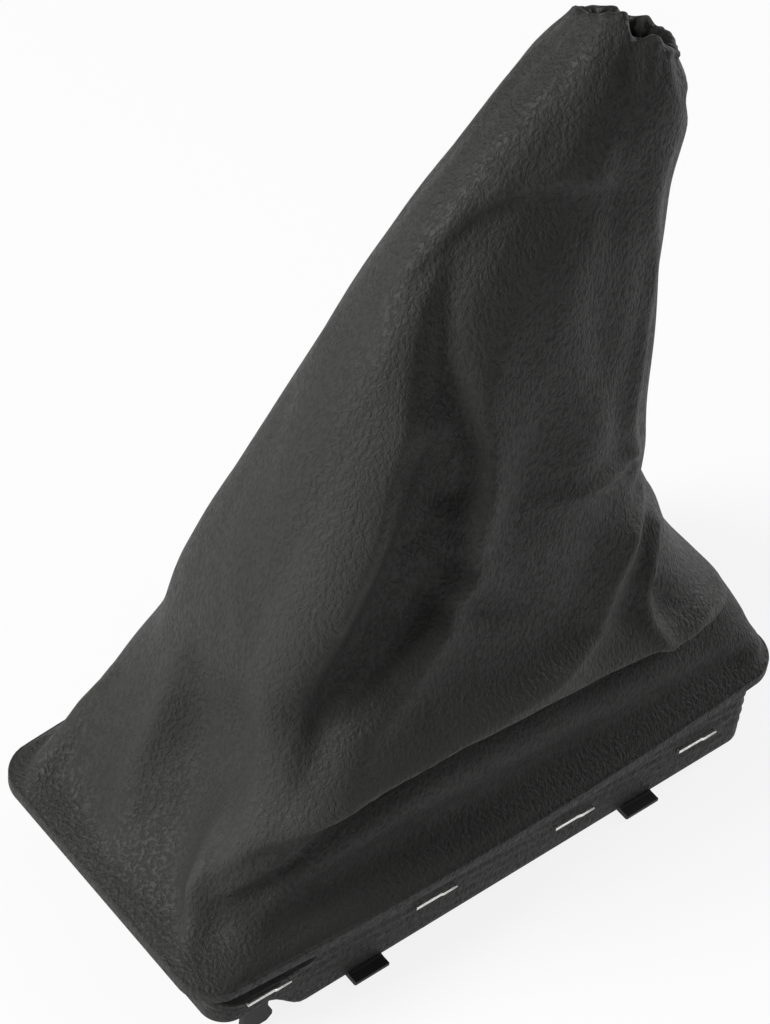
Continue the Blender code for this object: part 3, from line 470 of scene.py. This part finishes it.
def sleeve(u, t, inset=0.0, rise=0.0):
    """Points of the sleeve at u (way round) and t (way up), and the height of its folds there."""
    u, t = np.meshgrid(u, t)
    rim_x = RIM_LENGTH / 2 - RIM_INSET
    rim_half_width = RIM_WIDTH / 2 - RIM_INSET
    neck_x = RIM_LENGTH / 2 - NECK_FROM_REAR
    neck_z = RIM_TOP + SLEEVE_HEIGHT - NECK_HALF_LENGTH * sin(NECK_TILT)
    reach = NECK_HALF_LENGTH * cos(NECK_TILT)
    drop = NECK_HALF_LENGTH * sin(NECK_TILT)
    front_x = -rim_x + rail(1, t) * (neck_x - reach + rim_x)
    front_z = RIM_TOP + rail(2, t) * (neck_z + drop - RIM_TOP)
    rear_x = rim_x + rail(3, t) * (neck_x + reach - rim_x)
    rear_z = RIM_TOP + rail(4, t) * (neck_z - drop - RIM_TOP)
    half_width = rim_half_width + rail(5, t) * (NECK_HALF_WIDTH - rim_half_width)
    half_length = np.hypot(rear_x - front_x, rear_z - front_z) / 2
    zero = np.zeros_like(t)
    length = 2 * half_length
    along = np.stack([(rear_x - front_x) / length, zero, (rear_z - front_z) / length], axis=-1)
    up = np.stack([-along[..., 2], zero, along[..., 0]], axis=-1)
    tilt = (rail(8, t) * NECK_SIDE_TILT)[..., None]
    across = np.array((0.0, 1.0, 0.0)) * np.cos(tilt) - up * np.sin(tilt)
    centre = np.stack([(front_x + rear_x) / 2, zero, (front_z + rear_z) / 2], axis=-1)

    def outline(shift):
        """Outline of each row, shifted round by a small share."""
        corner = np.minimum(rail(7, t) * RIM_CORNER, half_width)
        roundness = np.clip(rail(6, t), 0.0, 1.0)
        x, y = rounded_rectangle(u + shift, half_length, half_width, corner)
        x = (1.0 - roundness) * x + roundness * half_length * np.cos(2 * np.pi * (u + shift))
        y = (1.0 - roundness) * y + roundness * half_width * np.sin(2 * np.pi * (u + shift))
        return x, bowed(x, y, half_length, RIM_BOW * np.clip(1.0 - t / BOW_FADE, 0.0, 1.0))

    x, y = outline(0.0)
    ahead_x, ahead_y = outline(OUTLINE_STEP)
    behind_x, behind_y = outline(-OUTLINE_STEP)
    dx = ahead_x - behind_x
    dy = ahead_y - behind_y
    step = np.hypot(dx, dy)
    around = 2 * np.pi * np.hypot(half_length, half_width) / 2**0.5
    folds = fold_height(u, t, around)
    drawn_in = smooth_step((t - GATHER_START) / GATHER_RUN)
    out = folds + GATHER_DEPTH * drawn_in * gather_wave(u) + undulation(u, t) - inset
    x = x + dy / step * out
    y = y - dx / step * out
    lift = rise + mouth_rise(u) * smooth_step((t - MOUTH_START) / (1.0 - MOUTH_START))
    points = centre + up * lift[..., None] + along * x[..., None] + across * y[..., None]
    return points, folds


def undulation(u, t):
    """Small soft undulations of the slack skin, the same in each run."""
    total = np.zeros_like(u)
    rng = np.random.default_rng(UNDULATION_SEED)
    for turns, turn_up, height in UNDULATIONS:
        phase = rng.uniform(0.0, 2 * pi, 3)
        drift = UNDULATION_DRIFT * np.sin(2 * np.pi * 2 * u + phase[1])
        wave = np.sin(2 * np.pi * turns * u + turn_up * t + phase[0] + drift)
        crossing = np.sin(turn_up * UNDULATION_CROSSING * t + phase[2] + 2.0 * np.sin(2 * np.pi * u))
        total += height * wave * crossing
    stretched = NECK_STRETCH * smooth_step((t - NECK_START) / NECK_RUN)
    return total * FOLD_UNIT * smooth_step(t / SLACK_START) * (1.0 - stretched)


def skin_grid():
    """Rows of points of the whole skin, from the hem's cut edge to the turned-in neck hem, and the
    height of the folds at each point.
    """
    u = np.concatenate([np.linspace(a, b, n, endpoint=False) for a, b, n in ROUND_RUNS] + [[1.0]])
    shares = np.concatenate([np.linspace(0.0, HEM_FINE_FROM, HEM_ROWS[0], endpoint=False),
                             np.linspace(HEM_FINE_FROM, 1.0, HEM_ROWS[1])])
    rows = [hem_row(u, share) for share in shares]
    heights = [np.zeros_like(u) for _ in shares]
    for points in rim_rows(u):
        rows.append(points)
        heights.append(np.zeros_like(u))
    t = np.concatenate([np.linspace(0.0, FOOT_TOP, FOOT_ROWS, endpoint=False),
                        np.linspace(FOOT_TOP, 1.0, UPPER_ROWS)])
    points, folds = sleeve(u, t)
    rows += list(points)
    heights += list(folds)
    for turn in np.linspace(pi / LIP_ROWS, pi, LIP_ROWS):
        bulge = RUFFLE * ruffle(u) * sin(turn / 2)
        inset = CASING / 4 * (1.0 - cos(turn)) + bulge
        lip, _ = sleeve(u, np.array([1.0]), inset, CASING / 4 * sin(turn))
        rows.append(lip[0])
        heights.append(np.zeros_like(u))
    for level, share in INNER_ROWS:
        inner, _ = sleeve(u, np.array([level]), CASING * share + RUFFLE * (ruffle(u) + INNER_BULGE))
        rows.append(inner[0])
        heights.append(np.zeros_like(u))
    return np.array(rows), np.array(heights)


def make_skin(leatherette, backing):
    """Leatherette skin as one continuous sheet with its thickness."""
    points, heights = skin_grid()
    rows, columns = points.shape[:2]
    bm = bmesh.new()
    bmesh.ops.create_grid(bm, x_segments=columns - 1, y_segments=rows - 1, size=0.5)
    crest = bm.verts.layers.float.new("crest")
    for vert in bm.verts:
        i = round((vert.co.y + 0.5) * (rows - 1))
        j = round((vert.co.x + 0.5) * (columns - 1))
        vert[crest] = heights[i, j] / FOLD_UNIT
        vert.co = points[i, j]
    bmesh.ops.remove_doubles(bm, verts=[v for v in bm.verts if v.is_boundary], dist=0.000001)
    bmesh.ops.recalc_face_normals(bm, faces=bm.faces)
    mesh = bpy.data.meshes.new("skin")
    bm.to_mesh(mesh)
    bm.free()
    mesh.materials.append(leatherette)
    mesh.materials.append(backing)
    mesh.shade_smooth()
    skin = bpy.data.objects.new("skin", mesh)
    bpy.context.scene.collection.objects.link(skin)
    wall = skin.modifiers.new("Leatherette thickness", "SOLIDIFY")
    wall.thickness = SKIN
    wall.offset = -1.0
    wall.material_offset = 1
    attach(skin, "root")
    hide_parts("gaiter_skin")


def fill(tree, node, inputs):
    """Set each input of a node to its value, or link it to its socket."""
    for name, value in inputs.items():
        if isinstance(value, bpy.types.NodeSocket):
            tree.links.new(value, node.inputs[name])
        else:
            node.inputs[name].default_value = value


def add(tree, kind, settings=None, inputs=None, stops=()):
    """New node with its settings, its inputs and, on a colour ramp, its stops (place, sRGB hex)."""
    node = tree.nodes.new(kind)
    for name, value in (settings or {}).items():
        setattr(node, name, value)
    fill(tree, node, inputs or {})
    for i, (place, code) in enumerate(stops):
        node.color_ramp.elements[i].position = place
        node.color_ramp.elements[i].color = srgb(code)
    return node


def new_material(name):
    """Empty material, its tree, its shader and its object coordinates."""
    material = bpy.data.materials.new(name)
    material.use_nodes = True
    tree = material.node_tree
    shader = tree.nodes["Principled BSDF"]
    coords = add(tree, "ShaderNodeTexCoord")
    return material, tree, shader, coords.outputs["Object"]


def leatherette_material():
    """Leatherette: PVC on a knit, embossed with short upright wrinkles.

    Dull charcoal with a soft broken sheen, paler on the crests of the tallest folds, and with painted shade
    that darkens the low parts of its grain.
    """
    material, tree, shader, coords = new_material("charcoal_leatherette")
    warp = add(tree, "ShaderNodeTexNoise", inputs={"Vector": coords, "Scale": 1 / WARP_SIZE, "Detail": 2.0})
    bent = add(tree, "ShaderNodeVectorMath", {"operation": "MULTIPLY_ADD"},
               {0: warp.outputs["Color"], 1: (WARP_SHIFT, WARP_SHIFT, WARP_SHIFT), 2: coords})
    upright = add(tree, "ShaderNodeMapping",
                  inputs={"Vector": bent.outputs[0], "Scale": (1.0, 1.0, GRAIN_STRETCH)})
    lie = upright.outputs["Vector"]
    wrinkle = add(tree, "ShaderNodeTexNoise",
                  inputs={"Vector": lie, "Scale": 1 / WRINKLE_SIZE, "Detail": 2.0, "Roughness": 0.55,
                          "Distortion": 0.5})
    pebble = add(tree, "ShaderNodeTexVoronoi", {"feature": "SMOOTH_F1"},
                 {"Vector": lie, "Scale": 1 / PEBBLE_SIZE, "Smoothness": 0.7})
    pits = add(tree, "ShaderNodeMapRange", {"interpolation_type": "SMOOTHSTEP"},
               {"Value": wrinkle.outputs["Fac"], "From Min": 0.3, "From Max": 0.62})
    relief = add(tree, "ShaderNodeMath", {"operation": "MULTIPLY_ADD"},
                 {0: pebble.outputs["Distance"], 1: -1.0, 2: pits.outputs[0]})
    bump = add(tree, "ShaderNodeBump",
               inputs={"Height": relief.outputs[0], "Strength": 0.85, "Distance": GRAIN_DEPTH})
    clouds = add(tree, "ShaderNodeTexNoise",
                 inputs={"Vector": coords, "Scale": 1 / CLOUD_SIZE, "Detail": 4.0})
    base = add(tree, "ShaderNodeValToRGB", inputs={"Fac": clouds.outputs["Fac"]},
               stops=((0.3, "2E2E2D"), (0.7, "313130")))
    # Painted shade: the low parts of the grain are drawn darker, for the shade that falls in its pits
    shade = add(tree, "ShaderNodeMapRange", inputs={"Value": pits.outputs[0], "To Min": 0.9, "To Max": 1.03})
    pit_shaded = add(tree, "ShaderNodeVectorMath", {"operation": "SCALE"},
               {0: base.outputs["Color"], "Scale": shade.outputs[0]})
    # Paler on the crests of the tallest folds
    crest = add(tree, "ShaderNodeAttribute", {"attribute_name": "crest"})
    crest_share = add(tree, "ShaderNodeMapRange",
                 inputs={"Value": crest.outputs["Fac"], "From Min": CREST_PALE_FROM, "From Max": CREST_PALE_FULL})
    crest_paled = add(tree, "ShaderNodeMix", {"data_type": "RGBA"},
               {"Factor": crest_share.outputs[0], "A": pit_shaded.outputs[0], "B": srgb("383836")})
    rough = add(tree, "ShaderNodeMapRange", inputs={"Value": pits.outputs[0], "To Min": 0.7, "To Max": 0.54})
    fill(tree, shader, {"Base Color": crest_paled.outputs["Result"], "Roughness": rough.outputs[0],
                        "Normal": bump.outputs["Normal"], "Specular IOR Level": 0.2})
    return material


def backing_material():
    """Knitted polyester backing on the inside of the leatherette: dark, dry and looped."""
    material, tree, shader, coords = new_material("knitted_backing")
    loops = add(tree, "ShaderNodeTexVoronoi",
                inputs={"Vector": coords, "Scale": 1 / KNIT_LOOP, "Randomness": 0.35})
    bump = add(tree, "ShaderNodeBump",
               inputs={"Height": loops.outputs["Distance"], "Strength": 0.8, "Distance": KNIT_DEPTH})
    colour = add(tree, "ShaderNodeValToRGB", inputs={"Fac": loops.outputs["Distance"]},
                 stops=((0.1, "3A3A3A"), (0.7, "232323")))
    fill(tree, shader, {"Base Color": colour.outputs["Color"], "Roughness": 0.95,
                        "Normal": bump.outputs["Normal"]})
    return material


def plastic_material():
    """Black ABS, moulded in a spark-eroded tool: an even, dull black with a soft shine on its edges."""
    material, tree, shader, coords = new_material("black_moulded_plastic")
    spark = add(tree, "ShaderNodeTexNoise",
                inputs={"Vector": coords, "Scale": SPARKS_A_METRE, "Detail": 4.0})
    flow = add(tree, "ShaderNodeTexNoise",
               inputs={"Vector": coords, "Scale": FLOWS_A_METRE, "Detail": 3.0})
    bump = add(tree, "ShaderNodeBump",
               inputs={"Height": spark.outputs["Fac"], "Strength": 0.5, "Distance": SPARK_DEPTH})
    base = add(tree, "ShaderNodeValToRGB", inputs={"Fac": flow.outputs["Fac"]},
               stops=((0.3, "1B1C1C"), (0.7, "232424")))
    rough = add(tree, "ShaderNodeMapRange",
                inputs={"Value": flow.outputs["Fac"], "To Min": 0.52, "To Max": 0.66})
    fill(tree, shader, {"Base Color": base.outputs["Color"], "Roughness": rough.outputs[0],
                        "Normal": bump.outputs["Normal"], "Specular IOR Level": 0.3})
    return material


def wire_material():
    """Galvanised steel wire, drawn: bright, with faint spots and a blurred reflection."""
    material, tree, shader, coords = new_material("galvanised_wire")
    spots = add(tree, "ShaderNodeTexNoise", inputs={"Vector": coords, "Scale": SPOTS_A_METRE, "Detail": 3.0})
    base = add(tree, "ShaderNodeValToRGB", inputs={"Fac": spots.outputs["Fac"]},
               stops=((0.3, "C9C9C5"), (0.7, "EFEFEC")))
    rough = add(tree, "ShaderNodeMapRange",
                inputs={"Value": spots.outputs["Fac"], "To Min": 0.28, "To Max": 0.46})
    bump = add(tree, "ShaderNodeBump",
               inputs={"Height": spots.outputs["Fac"], "Strength": 0.3, "Distance": SPOT_DEPTH})
    fill(tree, shader, {"Base Color": base.outputs["Color"], "Roughness": rough.outputs[0],
                        "Normal": bump.outputs["Normal"], "Metallic": 1.0})
    return material


def elastic_material():
    """Knitted elastic: black yarn over rubber, matt, with ribs along the band."""
    material, tree, shader, coords = new_material("black_knitted_elastic")
    ribs = add(tree, "ShaderNodeTexWave", {"bands_direction": "Z"},
               {"Vector": coords, "Scale": RIB_SCALE, "Distortion": 1.5, "Detail": 1.0})
    bump = add(tree, "ShaderNodeBump",
               inputs={"Height": ribs.outputs["Fac"], "Strength": 0.7, "Distance": RIB_DEPTH})
    base = add(tree, "ShaderNodeValToRGB", inputs={"Fac": ribs.outputs["Fac"]},
               stops=((0.2, "151515"), (0.8, "2A2A2A")))
    fill(tree, shader, {"Base Color": base.outputs["Color"], "Roughness": 0.9,
                        "Normal": bump.outputs["Normal"]})
    return material


def finish_nodes():
    """Materials of the CAD nodes that stay in view."""
    finishes = {"frame": plastic_material(), "neck": elastic_material(), "staple": wire_material()}
    for name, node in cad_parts.items():
        finish = finishes.get(name.split("_")[0])
        if finish:
            node.data.materials.clear()
            node.data.materials.append(finish)


def make_floor():
    """White card under the hooks, wide enough to fill the view, which keeps the soft shadow."""
    bm = bmesh.new()
    bmesh.ops.create_grid(bm, x_segments=1, y_segments=1, size=FLOOR_HALF_WIDTH)
    mesh = bpy.data.meshes.new("floor")
    bm.to_mesh(mesh)
    bm.free()
    material, tree, shader, _ = new_material("white_card")
    fill(tree, shader, {"Base Color": srgb("F4F4F4"), "Roughness": 0.9, "Specular IOR Level": 0.1})
    path = add(tree, "ShaderNodeLightPath")
    seen = path.outputs["Is Camera Ray"]
    for name in ("Is Glossy Ray", "Is Transmission Ray"):
        either = add(tree, "ShaderNodeMath", {"operation": "MAXIMUM"}, {0: seen, 1: path.outputs[name]})
        seen = either.outputs[0]
    share = add(tree, "ShaderNodeMath", {"operation": "MULTIPLY"}, {0: seen, 1: FLOOR_GLOW})
    white = add(tree, "ShaderNodeEmission", inputs={"Color": srgb("FFFFFF"), "Strength": 1.0})
    mixed = add(tree, "ShaderNodeMixShader",
                inputs={0: share.outputs[0], 1: shader.outputs[0], 2: white.outputs[0]})
    fill(tree, tree.nodes["Material Output"], {"Surface": mixed.outputs[0]})
    mesh.materials.append(material)
    floor = bpy.data.objects.new("floor", mesh)
    bpy.context.scene.collection.objects.link(floor)


def add_light(name, place, size, watts):
    """Square soft light that faces LIGHT_AIM."""
    data = bpy.data.lights.new(name, "AREA")
    data.size = size
    data.energy = watts
    light = bpy.data.objects.new(name, data)
    light.location = place
    light.rotation_euler = (Vector(LIGHT_AIM) - Vector(place)).to_track_quat("-Z", "Y").to_euler()
    bpy.context.scene.collection.objects.link(light)


def make_surround():
    """The lights and an even white surround."""
    for name, place, size, watts in LIGHTS:
        add_light(name, place, size, watts)
    world = bpy.data.worlds.new("white_surround")
    world.use_nodes = True
    background = world.node_tree.nodes["Background"]
    fill(world.node_tree, background, {"Color": srgb("FFFFFF"), "Strength": SURROUND_STRENGTH})
    bpy.context.scene.world = world
    bpy.context.scene.view_settings.view_transform = "Standard"


make_camera()
make_floor()
make_surround()
make_skin(leatherette_material(), backing_material())
finish_nodes()
